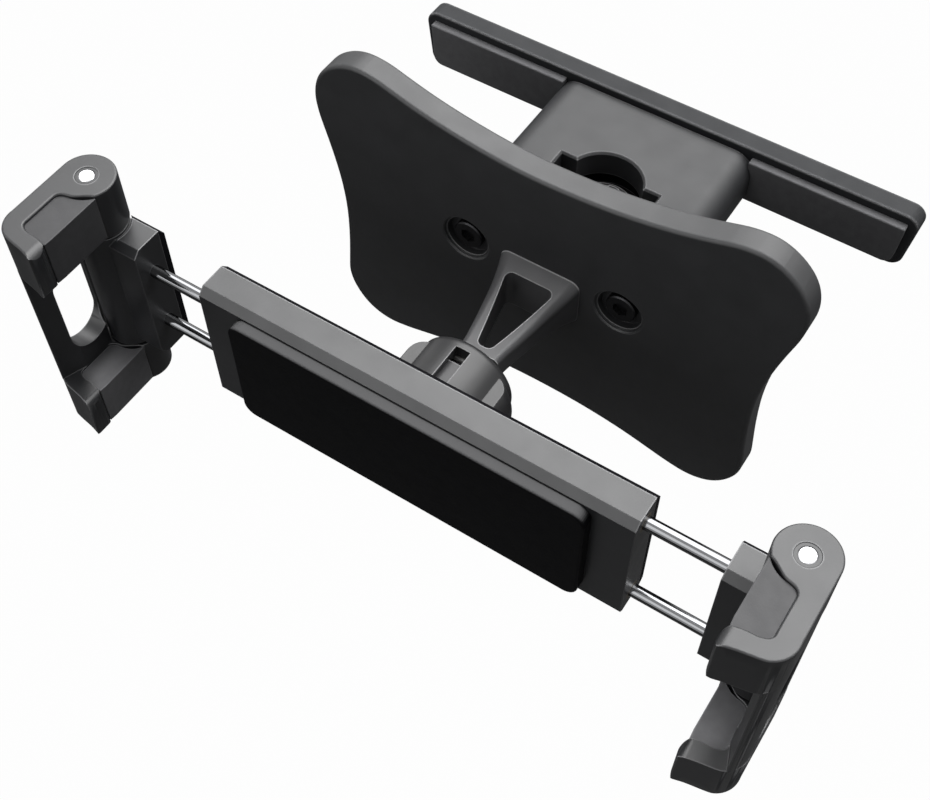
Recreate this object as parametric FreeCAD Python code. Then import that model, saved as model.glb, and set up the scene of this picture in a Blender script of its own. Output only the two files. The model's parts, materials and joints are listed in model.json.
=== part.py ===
import FreeCAD, Part
import math
import os

# Headrest tablet mount, in millimetres.
# Origin: centre of the front plate's rear face, at the height of the ball's axis.
# +Z is up, +Y points to the headrest posts, +X is to the right of someone facing the holder.
# The parts of the holder are drawn with the holder's front face at y = 0 and moved at the end.

V = FreeCAD.Vector
os.makedirs("parts", exist_ok=True)

# Fits
RUN_FIT = 0.05          # radial clearance of a pin or rod that turns or slides in a bore
SLIDE_GAP = 0.3         # clearance of flat sliding faces
BALL_GAP = 0.3          # clearance of ball faces that turn on one another
END_GAP = 2.0           # what is left free at the end of the clamp's travel
ARC_TOLERANCE = 0.12    # how far an outline's arcs may leave its smooth curve

# Front plate
PLATE_T = 7.6
PLATE_ROUND = 1.1
PLATE_OUTLINE = [(0.0, 38.8), (10.0, 39.2), (20.0, 40.15), (30.0, 41.8), (40.0, 44.15), (50.0, 47.05),
                 (55.5, 47.85), (60.5, 46.9), (65.6, 43.7), (69.4, 38.8), (71.0, 31.5), (69.6, 23.0),
                 (66.6, 11.0), (64.5, -2.0), (64.2, -14.0), (65.2, -29.0), (65.5, -36.0), (62.6, -43.6),
                 (57.6, -48.4), (50.5, -50.2), (42.0, -48.8), (32.0, -46.2), (20.0, -44.1), (10.0, -43.2),
                 (0.0, -42.85)]
SCREW_X = 23.4
SCREW_Z = 4.6
RECESS_R = 7.06
RECESS_STEP_R = 6.5
RECESS_STEP = 1.0
RECESS_DEPTH = 3.2
RECESS_BEVEL = 0.4
PLATE_SCREW_R = 2.0
PLATE_SCREW_HEAD_R = 4.4
PLATE_SCREW_HEAD_H = 2.0

# Slide core, let into the plate's rear face by its two feet
CORE_IN = 13.0
CORE_OUT = 24.0
CORE_Z0 = -4.0
CORE_Z1 = 2.7
CORE_TOP = 1.8
CORE_POCKET = 9.5
CORE_RIB = 1.6
FOOT_T = 2.5
FOOT_IN = 12.5
FOOT_OUT = 30.5
FOOT_Z0 = -6.0
FOOT_Z1 = 9.3
FOOT_R = 1.5
FOOT_FIT = 0.1
TEETH_PITCH = 2.5
TEETH_DEPTH = 0.7

# Clamp block (sleeve) and lock knob
BLOCK_HX = 31.0
BLOCK_Z0 = -6.5
BLOCK_Z1 = 11.0
BLOCK_R = 6.5
BLOCK_Y0 = 12.5
BLOCK_BEVEL = 0.5
BAR_Y0 = 55.75
CAVITY_Y1 = 50.0
CLAMP_TRAVEL = 12.0
WEB_T = 1.7
KNOB_Y = 25.15
KNOB_OPEN_R = 10.8
NOTCH_X1 = 15.2
NOTCH_HY = 3.5
OPEN_BEVEL = 0.6
KNOB_R = 9.0
KNOB_RING = 1.1
KNOB_Z1 = 0.6
KNOB_RING_Z = 1.3
KNOB_GRIP_R = 7.4
KNOB_GRIP_HX = 1.6
KNOB_GRIP_Z = 2.5
KNOB_SHAFT_R = 4.0
KNOB_SHAFT_Z = -5.9
CAM_HX = 12.6
CAM_HY = 8.0
CAM_T = 2.0

# Rear bar and rear pads
BAR_HX = 78.7
BAR_TAPER = 2.2
BAR_T = 6.2
BAR_Z0 = -6.0
BAR_Z1 = 13.04
BAR_R = 4.0
BAR_ROUND = 0.6
BAR_POCKETS = [(28.0, 50.0), (52.0, 72.0)]
BAR_POCKET_T = 2.5
BAR_POCKET_RIM = 3.0
REAR_PAD_IN = 29.6
REAR_PAD_INSET = 3.3
REAR_PAD_TAPER = 0.9
REAR_PAD_Z0 = -3.7
REAR_PAD_Z1 = 10.4
REAR_PAD_T = 2.4
REAR_PAD_R = 3.0
REAR_PAD_ROUND = 0.5
BAR_SCREW_X = 20.0
BAR_SCREW_Z = 1.65
BAR_SCREW_R = 1.75
BAR_SCREW_HEAD_R = 3.4
BAR_SCREW_DEPTH = 2.6
BAR_SCREW_LEN = 5.0

# Strut and ball
STRUT_SECTIONS = [(0.0, 12.1, 8.2, 3.0), (4.5, 10.7, 6.5, 2.8), (10.5, 9.2, 5.3, 2.4),
                  (17.5, 7.8, 4.5, 2.0), (24.5, 6.5, 4.2, 1.8), (29.9, 5.8, 4.2, 1.7)]
POCKET_ROOT = 4.5
POCKET_ROOT_HX = 7.4
POCKET_TIP = 27.7
POCKET_TIP_HX = 2.0
POCKET_R = 1.8
BALL_R = 8.5
NECK_R = 4.0
STUD_R = 2.5
STUD_LEN = 2.0

# Holder body
HOLDER_FRONT = -69.75
HOLDER_HX = 61.63
HOLDER_Z0 = -21.2
HOLDER_Z1 = 21.0
SHELL_Y1 = 9.4
HOLDER_Y1 = 11.4
FRONT_CHAMFER = 2.05
REAR_CHAMFER = 2.2
WALL = 2.0
PAD_HX = 50.8
PAD_HZ = 18.5
PAD_T = 3.4
PAD_R = 3.8
PAD_ROUND = 0.7

# Rods, racks and pinion
ROD_R = 1.75
ROD_Y = 5.1
ROD_Z_RIGHT = 16.3
ROD_Z_LEFT = 10.0
BUSH_R = 2.6
BUSH_LEN = 5.0
GUIDE_X = 20.0
GUIDE_HZ = 3.2
GUIDE_LOW_HZ = 2.2
YOKE_X0 = 30.0
YOKE_T = 4.0
YOKE_Y0 = 7.2
YOKE_Y1 = 9.0
LUG_HZ = 2.2
GEAR_MODULE = 0.75
GEAR_TEETH = 12
GEAR_Y0 = 2.4
GEAR_Y1 = 6.5
GEAR_BACKLASH = 0.06
RACK_BACK = 7.3
RACK_REACH = 25.0
AXLE_R = 1.5
DRUM_R = 7.4
DRUM_Y0 = 6.9
POST_R = 2.1
POST_X = HOLDER_HX - 4.43
COVER_SCREW_R = 1.0
COVER_SCREW_LEN = 6.7
COVER_HEAD_R = 1.9
COVER_HEAD_T = 1.0
COVER_HEAD_DEPTH = 1.2
VENT_X0 = 25.0
VENT_PITCH = 10.0
VENT_HX = 3.5
VENT_HZ = 12.0

# Ball socket and ball nut
BALL_Y = 22.5
SHELL_T = 0.9
SOCKET_Y1 = 21.9
SOCKET_R = 11.35
SOCKET_FLANGE_R = 12.8
SOCKET_FLANGE_Y1 = 13.2
SOCKET_SLOT = 5.4
SOCKET_SLOT_HZ = 0.6
NUT_Y0 = 13.5
NUT_Y1 = 28.4
NUT_R = 13.3
NUT_ROUND = 2.0
WING_R = 16.0
WING_HZ = 8.4
WING_Y1 = 26.0
WING_ROUND = 4.6
NUT_SLOT_HX = 2.05
NUT_SLOT_Y1 = 25.2

# Sliding arm blocks
ARM_OPEN = 20.77         # from the holder's end to the arm block, at rest
ARM_LEN = 14.3           # from the arm block's inner end to the hinge pin
ARM_X0 = HOLDER_HX + ARM_OPEN
ARM_Z1 = 21.0
ARM_Y1 = 11.4
ARM_STRIP_Y = 9.6
ROD_SEAT = 7.6           # how far a rod reaches into the arm block
ROD_BOSS_R = 3.4
COVER_BACK = 2.2         # how far short of the pin the arm's cover ends

# Hinge and hook brackets, with the hooks' outline measured from the pin
PIN_X = ARM_X0 + ARM_LEN
PIN_Y = 4.26
PIN_R = 2.05
PIN_RING_R = 3.0
PIN_RING_T = 0.5
BOSS_R = 7.5
KNUCKLE_R = 7.1
KNUCKLE_HZ = 21.5
HOOK_GAP = 0.9
HOOK_T = 15.4
HOOK_Z0 = KNUCKLE_HZ + HOOK_GAP
HOOK_Z1 = HOOK_Z0 + HOOK_T
HOOK_PAD_Z0 = HOOK_Z0 + 0.6
HOOK_PAD_Z1 = HOOK_Z1 - 0.8
WALL_IN = 2.1
WALL_OUT = 7.5
WALL_END = -13.9
HOOK_PAD_IN = -6.5
WINDOW_Y0 = -14.8
WINDOW_Y1 = -0.9
WINDOW_HZ = 16.3
HOOK_ROUND = 0.5
POCKET_REAR = [(-6.15, 0.0), (-3.4, -1.7), (-1.3, -3.0), (0.6, -3.5), (1.7, -4.3), (WALL_IN, -5.6)]
LIP_INNER = [(WALL_IN, -14.4), (1.6, -16.2), (-0.1, -17.0), (-2.9, -17.25), (-5.3, -17.7), (-6.3, -18.1)]
LIP_TIP = (-7.3, -20.7)
LIP_OUTER = [(3.3, -21.2), (-0.2, -21.9), (-3.9, -22.6), (-5.7, -23.1), (-6.5, -23.3)]


def box(x0, x1, y0, y1, z0, z1):
    return Part.makeBox(x1 - x0, y1 - y0, z1 - z0, V(x0, y0, z0))


def cyl_x(r, x0, x1, y, z):
    return Part.makeCylinder(r, x1 - x0, V(x0, y, z), V(1, 0, 0))


def cyl_y(r, y0, y1, x, z):
    return Part.makeCylinder(r, y1 - y0, V(x, y0, z), V(0, 1, 0))


def cyl_z(r, z0, z1, x, y):
    return Part.makeCylinder(r, z1 - z0, V(x, y, z0), V(0, 0, 1))


def mirror_x(shape):
    return shape.mirror(V(0, 0, 0), V(1, 0, 0))


def mirror_z(shape):
    return shape.mirror(V(0, 0, 0), V(0, 0, 1))


def polygon(points, direction):
    wire = Part.makePolygon(points + [points[0]])
    return Part.Face(wire).extrude(direction)


def rounded_rect_wire(y, hx, z0, z1, r):
    # Rounded rectangle in a plane of constant y
    c = r * (1 - math.sqrt(0.5))
    corners = [(hx, z1, -1, -1), (hx, z0, -1, 1), (-hx, z0, 1, 1), (-hx, z1, 1, -1)]
    nodes = []
    for i, (x, z, sx, sz) in enumerate(corners):
        side = V(x, y, z + sz * r)
        level = V(x + sx * r, y, z)
        middle = V(x + sx * c, y, z + sz * c)
        if i % 2 == 0:
            nodes.append((level, middle, side))
        else:
            nodes.append((side, middle, level))
    edges = []
    for i, (start, middle, end) in enumerate(nodes):
        edges.append(Part.Arc(start, middle, end).toShape())
        following = nodes[(i + 1) % 4][0]
        if end.distanceToPoint(following) > 1e-6:
            edges.append(Part.LineSegment(end, following).toShape())
    return Part.Wire(edges)


def rounded_plate(x0, x1, y0, y1, z0, z1, r):
    hx = (x1 - x0) / 2.0
    wire = rounded_rect_wire(y0, hx, z0, z1, r)
    plate = Part.Face(wire).extrude(V(0, y1 - y0, 0))
    plate.translate(V((x0 + x1) / 2.0, 0, 0))
    return plate


def edges_at_y(shape, y):
    found = []
    for edge in shape.Edges:
        bb = edge.BoundBox
        if abs(bb.YMin - y) < 1e-4 and abs(bb.YMax - y) < 1e-4:
            found.append(edge)
    return found


def fuse_all(shapes):
    result = shapes[0].multiFuse(shapes[1:])
    return result.removeSplitter()


def holder_place(shape):
    moved = shape.copy()
    moved.translate(V(0, HOLDER_FRONT, 0))
    return moved


def front_plate():
    # A smooth closed curve through the outline's points, drawn as tangent arcs
    right = [V(x, -PLATE_T, z) for x, z in PLATE_OUTLINE]
    left = [V(-x, -PLATE_T, z) for x, z in reversed(PLATE_OUTLINE[1:-1])]
    curve = Part.BSplineCurve()
    curve.interpolate(right + left, PeriodicFlag=True)
    edges = [arc.toShape() for arc in curve.toBiArcs(ARC_TOLERANCE)]
    plate = Part.Face(Part.Wire(edges)).extrude(V(0, PLATE_T, 0))
    plate = plate.makeFillet(PLATE_ROUND, edges_at_y(plate, -PLATE_T) + edges_at_y(plate, 0.0))
    for x in (-SCREW_X, SCREW_X):
        y = -PLATE_T
        bevel = Part.makeCone(RECESS_R + RECESS_BEVEL, RECESS_R, RECESS_BEVEL, V(x, y, SCREW_Z),
                              V(0, 1, 0))
        plate = plate.cut(bevel)
        plate = plate.cut(cyl_y(RECESS_R, y, y + RECESS_STEP, x, SCREW_Z))
        plate = plate.cut(cyl_y(RECESS_STEP_R, y, y + RECESS_DEPTH, x, SCREW_Z))
        plate = plate.cut(cyl_y(PLATE_SCREW_R, y, 1.0, x, SCREW_Z))
    for side in (1, -1):
        plate = plate.cut(core_foot(side, FOOT_FIT))
    return plate


def core_foot(side, fit):
    # The flange of one prong, or with a fit its seat in the plate's rear face
    x0, x1 = sorted((side * (FOOT_IN - fit), side * (FOOT_OUT + fit)))
    rear = 1.0 if fit > 0 else 0.0
    return rounded_plate(x0, x1, -FOOT_T, rear, FOOT_Z0 - fit, FOOT_Z1 + fit, FOOT_R + fit)


def hex_prism(r, y0, y1, x, z):
    points = []
    for i in range(6):
        a = math.radians(60 * i + 30)
        points.append(V(x + r * math.cos(a), y0, z + r * math.sin(a)))
    return polygon(points, V(0, y1 - y0, 0))


def plate_screws():
    screws = []
    for x in (-SCREW_X, SCREW_X):
        seat = -PLATE_T + RECESS_DEPTH
        top = seat - PLATE_SCREW_HEAD_H
        head = cyl_y(PLATE_SCREW_HEAD_R, top, seat, x, SCREW_Z)
        head = head.makeChamfer(0.35, edges_at_y(head, top))
        screw = head.fuse(cyl_y(PLATE_SCREW_R, seat, -0.4, x, SCREW_Z))
        screws.append(screw.cut(hex_prism(2.3, top, top + 1.4, x, SCREW_Z)))
    return Part.makeCompound(screws)


def slide_core():
    # Two prongs that the clamp block runs on, as long as the block's travel allows
    length = CAVITY_Y1 - CLAMP_TRAVEL - END_GAP
    prongs = []
    for side in (1, -1):
        x0, x1 = sorted((side * CORE_IN, side * CORE_OUT))
        prong = box(x0, x1, -FOOT_T, length, CORE_Z0, CORE_Z1).fuse(core_foot(side, 0.0))
        x0, x1 = sorted((side * (CORE_IN + CORE_RIB + TEETH_DEPTH), side * (CORE_OUT - CORE_RIB)))
        y0 = CORE_RIB
        while y0 + CORE_POCKET < length:
            prong = prong.cut(box(x0, x1, y0, y0 + CORE_POCKET, CORE_Z0 - 1, CORE_Z1 - CORE_TOP))
            y0 += CORE_POCKET + CORE_RIB
        y = TEETH_PITCH
        while y < length - TEETH_PITCH:
            corners = [(CORE_IN, y), (CORE_IN + TEETH_DEPTH, y + 0.5), (CORE_IN, y + 1.4)]
            notch = polygon([V(side * a, b, CORE_Z0 - 1) for a, b in corners], V(0, 0, CORE_Z1 - CORE_Z0 + 2))
            prong = prong.cut(notch)
            y += TEETH_PITCH
        prong = prong.cut(cyl_y(PLATE_SCREW_R, -FOOT_T - 1, 1, side * SCREW_X, SCREW_Z))
        prongs.append(prong.removeSplitter())
    return Part.makeCompound(prongs)


def block_outline(grow):
    return rounded_rect_wire(BLOCK_Y0, BLOCK_HX + grow, BLOCK_Z0 - grow, BLOCK_Z1 + grow, BLOCK_R + grow)


def clamp_block():
    block = Part.Face(block_outline(0.0)).extrude(V(0, BAR_Y0 - BLOCK_Y0, 0))
    block = block.makeChamfer(BLOCK_BEVEL, edges_at_y(block, BLOCK_Y0) + edges_at_y(block, BAR_Y0))
    floor = CORE_Z0 - SLIDE_GAP
    ceiling = CORE_Z1 + SLIDE_GAP
    hx = CORE_OUT + SLIDE_GAP
    block = block.cut(box(-hx, hx, BLOCK_Y0 - 1, CAVITY_Y1, floor, ceiling))
    step = ceiling + WEB_T
    block = block.cut(cyl_z(KNOB_OPEN_R, ceiling - 1, BLOCK_Z1 + 1, 0, KNOB_Y))
    block = block.cut(box(-NOTCH_X1, NOTCH_X1, KNOB_Y - NOTCH_HY, KNOB_Y + NOTCH_HY, step, BLOCK_Z1 + 1))
    low = BLOCK_Z1 - OPEN_BEVEL
    rim = Part.makeCone(KNOB_OPEN_R, KNOB_OPEN_R + OPEN_BEVEL, OPEN_BEVEL, V(0, KNOB_Y, low))
    block = block.cut(rim).cut(bevelled_notch(low))
    block = block.cut(cyl_z(KNOB_SHAFT_R + RUN_FIT, BLOCK_Z0 - 1, floor + 1, 0, KNOB_Y))
    for x in (-BAR_SCREW_X, BAR_SCREW_X):
        block = block.cut(cyl_y(BAR_SCREW_R, BAR_Y0 - BAR_SCREW_LEN, BAR_Y0 + 1, x, BAR_SCREW_Z))
    return block


def bevelled_notch(low):
    # A shallow upturned frustum that bevels the rim of the two notches
    loops = []
    for grow, z in ((0.0, low), (OPEN_BEVEL, BLOCK_Z1)):
        a = NOTCH_X1 + grow
        b = NOTCH_HY + grow
        corners = [V(-a, KNOB_Y - b, z), V(a, KNOB_Y - b, z), V(a, KNOB_Y + b, z), V(-a, KNOB_Y + b, z)]
        loops.append(Part.makePolygon(corners + [corners[0]]))
    return Part.makeLoft(loops, True, True)


def lock_knob():
    base = CORE_Z0 + 0.1
    knob = cyl_z(KNOB_R, base, KNOB_Z1, 0, KNOB_Y)
    ring = cyl_z(KNOB_R, KNOB_Z1, KNOB_RING_Z, 0, KNOB_Y)
    ring = ring.cut(cyl_z(KNOB_R - KNOB_RING, KNOB_Z1 - 1, KNOB_RING_Z + 1, 0, KNOB_Y))
    grip = cyl_z(KNOB_GRIP_R, KNOB_Z1, KNOB_GRIP_Z, 0, KNOB_Y)
    hx = KNOB_GRIP_HX
    grip = grip.common(box(-hx, hx, KNOB_Y - KNOB_R, KNOB_Y + KNOB_R, KNOB_Z1, KNOB_GRIP_Z))
    shaft = cyl_z(KNOB_SHAFT_R, KNOB_SHAFT_Z, base, 0, KNOB_Y)
    cam = cyl_z(CAM_HX, base, base + CAM_T, 0, KNOB_Y)
    cam = cam.common(box(-CAM_HY, CAM_HY, KNOB_Y - CAM_HX, KNOB_Y + CAM_HX, base, base + CAM_T))
    return fuse_all([knob, ring, grip, shaft, cam])


def tapered_plate(ends, y0, y1, z0, z1, radii):
    # A plate whose lower edge is a little shorter than its upper one, with its corners rounded
    (top0, low0), (top1, low1) = ends
    corners = [(top1, z1), (low1, z0), (low0, z0), (top0, z1)]
    plate = polygon([V(x, y0, z) for x, z in corners], V(0, y1 - y0, 0))
    for (x, z), r in zip(corners, radii):
        uprights = []
        for edge in plate.Edges:
            bb = edge.BoundBox
            if bb.YLength > y1 - y0 - 0.01 and abs(bb.XMin - x) < 0.01 and abs(bb.ZMin - z) < 0.01:
                uprights.append(edge)
        plate = plate.makeFillet(r, uprights)
    return plate


def rear_bar():
    low = BAR_HX - BAR_TAPER
    rear = BAR_Y0 + BAR_T
    bar = tapered_plate(((-BAR_HX, -low), (BAR_HX, low)), BAR_Y0, rear, BAR_Z0, BAR_Z1, [BAR_R] * 4)
    bar = bar.makeFillet(BAR_ROUND, edges_at_y(bar, BAR_Y0) + edges_at_y(bar, rear))
    for x in (-BAR_SCREW_X, BAR_SCREW_X):
        bar = bar.cut(cyl_y(BAR_SCREW_HEAD_R + 0.3, rear - BAR_SCREW_DEPTH, rear + 1, x, BAR_SCREW_Z))
        bar = bar.cut(cyl_y(BAR_SCREW_R, BAR_Y0 - 1, rear, x, BAR_SCREW_Z))
    for x0, x1 in BAR_POCKETS:
        for side in (1, -1):
            a, b = sorted((side * x0, side * x1))
            z0 = BAR_Z0 + BAR_POCKET_RIM
            z1 = BAR_Z1 - BAR_POCKET_RIM
            bar = bar.cut(rounded_plate(a, b, rear - BAR_POCKET_T, rear + 1, z0, z1, 1.5))
    return bar


def bar_screws():
    screws = []
    seat = BAR_Y0 + BAR_T - BAR_SCREW_DEPTH
    for x in (-BAR_SCREW_X, BAR_SCREW_X):
        head = cyl_y(BAR_SCREW_HEAD_R, seat, seat + 2.0, x, BAR_SCREW_Z)
        head = head.makeChamfer(0.4, edges_at_y(head, seat + 2.0))
        screw = head.fuse(cyl_y(BAR_SCREW_R, BAR_Y0 - BAR_SCREW_LEN + 0.5, seat, x, BAR_SCREW_Z))
        cross = box(x - 2.0, x + 2.0, seat + 1.0, seat + 3, BAR_SCREW_Z - 0.4, BAR_SCREW_Z + 0.4)
        cross = cross.fuse(box(x - 0.4, x + 0.4, seat + 1.0, seat + 3, BAR_SCREW_Z - 2.0, BAR_SCREW_Z + 2.0))
        screws.append(screw.cut(cross))
    return Part.makeCompound(screws)


def rear_pad(side):
    # Reaches from the clamp block's rounded side to a little short of the bar's end
    top = BAR_HX - REAR_PAD_INSET
    low = top - REAR_PAD_TAPER
    front = BAR_Y0 - REAR_PAD_T
    r = REAR_PAD_ROUND
    ends = ((REAR_PAD_IN, REAR_PAD_IN), (top, low))
    pad = tapered_plate(ends, front, BAR_Y0, REAR_PAD_Z0, REAR_PAD_Z1, [r, REAR_PAD_R, r, r])
    pad = pad.makeFillet(REAR_PAD_ROUND, edges_at_y(pad, front))
    pad = pad.cut(Part.Face(block_outline(RUN_FIT)).extrude(V(0, BAR_Y0, 0)))
    return pad if side > 0 else mirror_x(pad)


def strut_arm():
    wires = []
    for offset, hx, hz, r in STRUT_SECTIONS:
        wires.append(rounded_rect_wire(-PLATE_T - offset, hx, -hz, hz, r))
    strut = Part.makeLoft(wires, True, False)
    root = -PLATE_T - POCKET_ROOT
    tip = -PLATE_T - POCKET_TIP
    outline = [V(-POCKET_ROOT_HX, root, 0), V(POCKET_ROOT_HX, root, 0), V(POCKET_TIP_HX, tip, 0),
               V(-POCKET_TIP_HX, tip, 0)]
    hz = STRUT_SECTIONS[0][2] + 1.0
    window = polygon([V(p.x, p.y, -hz) for p in outline], V(0, 0, 2 * hz))
    uprights = []
    for edge in window.Edges:
        if edge.BoundBox.ZLength > hz:
            uprights.append(edge)
    strut = strut.cut(window.makeFillet(POCKET_R, uprights))
    end = -PLATE_T - STRUT_SECTIONS[-1][0]
    return strut.cut(cyl_y(STUD_R, end - 1, end + STUD_LEN, 0, 0))


def ball_stud():
    centre = V(0, BALL_Y, 0)
    ball = Part.makeSphere(BALL_R, centre, V(0, 1, 0))
    end = -PLATE_T - STRUT_SECTIONS[-1][0] - HOLDER_FRONT
    neck = cyl_y(NECK_R, BALL_Y + 4, end, 0, 0)
    stud = cyl_y(STUD_R, end - 1, end + STUD_LEN - 0.2, 0, 0)
    return fuse_all([ball, neck, stud])


def arc_profile(centre, r_in, r_out, a0, a1):
    # Ring sector between two spheres, angles measured from +Y, turned about the Y axis
    def at(r, a):
        t = math.radians(a)
        return V(r * math.sin(t), centre + r * math.cos(t), 0)
    mid = (a0 + a1) / 2.0
    edges = [Part.Arc(at(r_in, a0), at(r_in, mid), at(r_in, a1)).toShape()]
    edges.append(Part.LineSegment(at(r_in, a1), at(r_out, a1)).toShape())
    edges.append(Part.Arc(at(r_out, a1), at(r_out, mid), at(r_out, a0)).toShape())
    edges.append(Part.LineSegment(at(r_out, a0), at(r_in, a0)).toShape())
    return Part.Face(Part.Wire(edges)).revolve(V(0, 0, 0), V(0, 1, 0), 360)


def ball_ring():
    return arc_profile(BALL_Y, BALL_R + BALL_GAP, BALL_R + BALL_GAP + SHELL_T, 50, 78)


def ball_cup():
    return arc_profile(BALL_Y, BALL_R + BALL_GAP, BALL_R + BALL_GAP + SHELL_T, 104, 158)


def ball_socket():
    seat_r = BALL_R + SHELL_T + 2 * BALL_GAP
    collar = cyl_y(SOCKET_R, HOLDER_Y1, SOCKET_Y1, 0, 0)
    flange = cyl_y(SOCKET_FLANGE_R, HOLDER_Y1, SOCKET_FLANGE_Y1, 0, 0)
    socket = collar.fuse(flange).removeSplitter()
    socket = socket.cut(Part.makeSphere(seat_r, V(0, BALL_Y, 0)))
    hx = 1.5 * SOCKET_R
    slot = box(-hx, hx, SOCKET_Y1 - SOCKET_SLOT, SOCKET_Y1 + 1, -SOCKET_SLOT_HZ, SOCKET_SLOT_HZ)
    for angle in (45, 135):
        turned = slot.copy()
        turned.rotate(V(0, 0, 0), V(0, 1, 0), angle)
        socket = socket.cut(turned)
    return socket


def ball_nut():
    body = cyl_y(NUT_R, NUT_Y0, NUT_Y1, 0, 0)
    body = body.makeFillet(NUT_ROUND, edges_at_y(body, NUT_Y1))
    wing = cyl_y(WING_R, NUT_Y0, WING_Y1, 0, 0)
    wing = wing.makeFillet(WING_ROUND, edges_at_y(wing, WING_Y1))
    wing = wing.common(box(-WING_R, WING_R, NUT_Y0, NUT_Y1, -WING_HZ, WING_HZ))
    nut = body.fuse(wing).removeSplitter()
    nut = nut.cut(cyl_y(SOCKET_R + SLIDE_GAP, NUT_Y0 - 1, BALL_Y, 0, 0))
    nut = nut.cut(Part.makeSphere(BALL_R + SHELL_T + 2 * BALL_GAP, V(0, BALL_Y, 0)))
    hx = NUT_SLOT_HX
    for z0, z1 in ((BALL_R, WING_R), (-WING_R, -BALL_R)):
        nut = nut.cut(box(-hx, hx, NUT_Y0 - 1, NUT_SLOT_Y1, z0, z1))
    return nut


def section_x(x0, x1, points):
    return polygon([V(x0, y, z) for y, z in points], V(x1 - x0, 0, 0))


def holder_shell():
    c = FRONT_CHAMFER
    outer = section_x(-HOLDER_HX, HOLDER_HX,
                      [(0, HOLDER_Z1 - c), (c, HOLDER_Z1), (SHELL_Y1, HOLDER_Z1), (SHELL_Y1, HOLDER_Z0),
                       (c * 0.6, HOLDER_Z0), (0, HOLDER_Z0 + c * 0.6)])
    hx = HOLDER_HX - WALL
    shell = outer.cut(box(-hx, hx, WALL, SHELL_Y1 + 1, HOLDER_Z0 + WALL, HOLDER_Z1 - WALL))
    extras = []
    hz = GUIDE_HZ
    for z in (-ROD_Z_RIGHT, ROD_Z_RIGHT):
        extras.append(box(HOLDER_HX - BUSH_LEN, HOLDER_HX - 1, 1, SHELL_Y1, z - hz, z + hz))
        extras.append(box(GUIDE_X, GUIDE_X + BUSH_LEN, 1, ROD_Y + BUSH_R + 1, z - hz, z + hz))
        extras.append(cyl_y(POST_R, 1, SHELL_Y1, -POST_X, z))
    low = GUIDE_LOW_HZ
    for z in (-ROD_Z_LEFT, ROD_Z_LEFT):
        extras.append(box(-HOLDER_HX + 1, -HOLDER_HX + BUSH_LEN, 1, SHELL_Y1, z - hz + 0.1, z + hz - 0.1))
        extras.append(box(-GUIDE_X - BUSH_LEN, -GUIDE_X, 1, ROD_Y + ROD_R + 0.1, z - low, z + low))
        extras.append(cyl_y(POST_R, 1, SHELL_Y1, POST_X, z))
    shell = shell.multiFuse(extras)
    for z in (-ROD_Z_RIGHT, ROD_Z_RIGHT):
        shell = shell.cut(cyl_x(BUSH_R, HOLDER_HX - BUSH_LEN - 1, HOLDER_HX + 1, ROD_Y, z))
        shell = shell.cut(cyl_x(BUSH_R, GUIDE_X - 1, GUIDE_X + BUSH_LEN + 1, ROD_Y, z))
        shell = shell.cut(cyl_y(COVER_SCREW_R, 3, SHELL_Y1 + 1, -POST_X, z))
    for z in (-ROD_Z_LEFT, ROD_Z_LEFT):
        shell = shell.cut(cyl_x(BUSH_R, -HOLDER_HX - 1, -HOLDER_HX + BUSH_LEN + 1, ROD_Y, z))
        shell = shell.cut(cyl_x(ROD_R + RUN_FIT, -GUIDE_X - BUSH_LEN - 1, -GUIDE_X + 1, ROD_Y, z))
        shell = shell.cut(cyl_y(COVER_SCREW_R, 3, SHELL_Y1 + 1, POST_X, z))
    shell = shell.cut(cyl_y(AXLE_R, 1.2, 3, 0, 0))
    return shell.removeSplitter()


def holder_back():
    c = REAR_CHAMFER
    cover = section_x(-HOLDER_HX, HOLDER_HX,
                      [(SHELL_Y1, HOLDER_Z1), (SHELL_Y1, HOLDER_Z0), (HOLDER_Y1 - 1.7, HOLDER_Z0 - 0.3),
                       (HOLDER_Y1, HOLDER_Z0 + 1.3), (HOLDER_Y1, HOLDER_Z1 - c)])
    for x, z in cover_screw_places():
        cover = cover.cut(cyl_y(COVER_SCREW_R, SHELL_Y1 - 1, HOLDER_Y1 + 1, x, z))
        cover = cover.cut(cyl_y(COVER_HEAD_R + 0.2, HOLDER_Y1 - COVER_HEAD_DEPTH, HOLDER_Y1 + 1, x, z))
    for k in range(3):
        for side in (1, -1):
            x = side * (VENT_X0 + VENT_PITCH * k)
            sunk = HOLDER_Y1 - 0.8
            vent = rounded_plate(x - VENT_HX, x + VENT_HX, sunk, HOLDER_Y1 + 1, -VENT_HZ, VENT_HZ, 2.0)
            cover = cover.cut(vent)
    return cover.cut(cyl_y(AXLE_R, SHELL_Y1 - 1, SHELL_Y1 + 1, 0, 0))


def cover_screw_places():
    places = []
    for side, rod_z in ((-1, ROD_Z_RIGHT), (1, ROD_Z_LEFT)):
        places.append((side * POST_X, -rod_z))
        places.append((side * POST_X, rod_z))
    return places


def cover_screws():
    screws = []
    seat = HOLDER_Y1 - COVER_HEAD_DEPTH
    top = seat + COVER_HEAD_T
    low = seat - COVER_SCREW_LEN
    for x, z in cover_screw_places():
        screw = cyl_y(COVER_HEAD_R, seat, top, x, z).fuse(cyl_y(COVER_SCREW_R, low, seat, x, z))
        screws.append(screw.cut(box(x - 1.2, x + 1.2, top - 0.5, top + 1, z - 0.25, z + 0.25)))
    return Part.makeCompound(screws)


def holder_pad():
    pad = rounded_plate(-PAD_HX, PAD_HX, -PAD_T, 0, -PAD_HZ, PAD_HZ, PAD_R)
    return pad.makeFillet(PAD_ROUND, edges_at_y(pad, -PAD_T))


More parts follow.
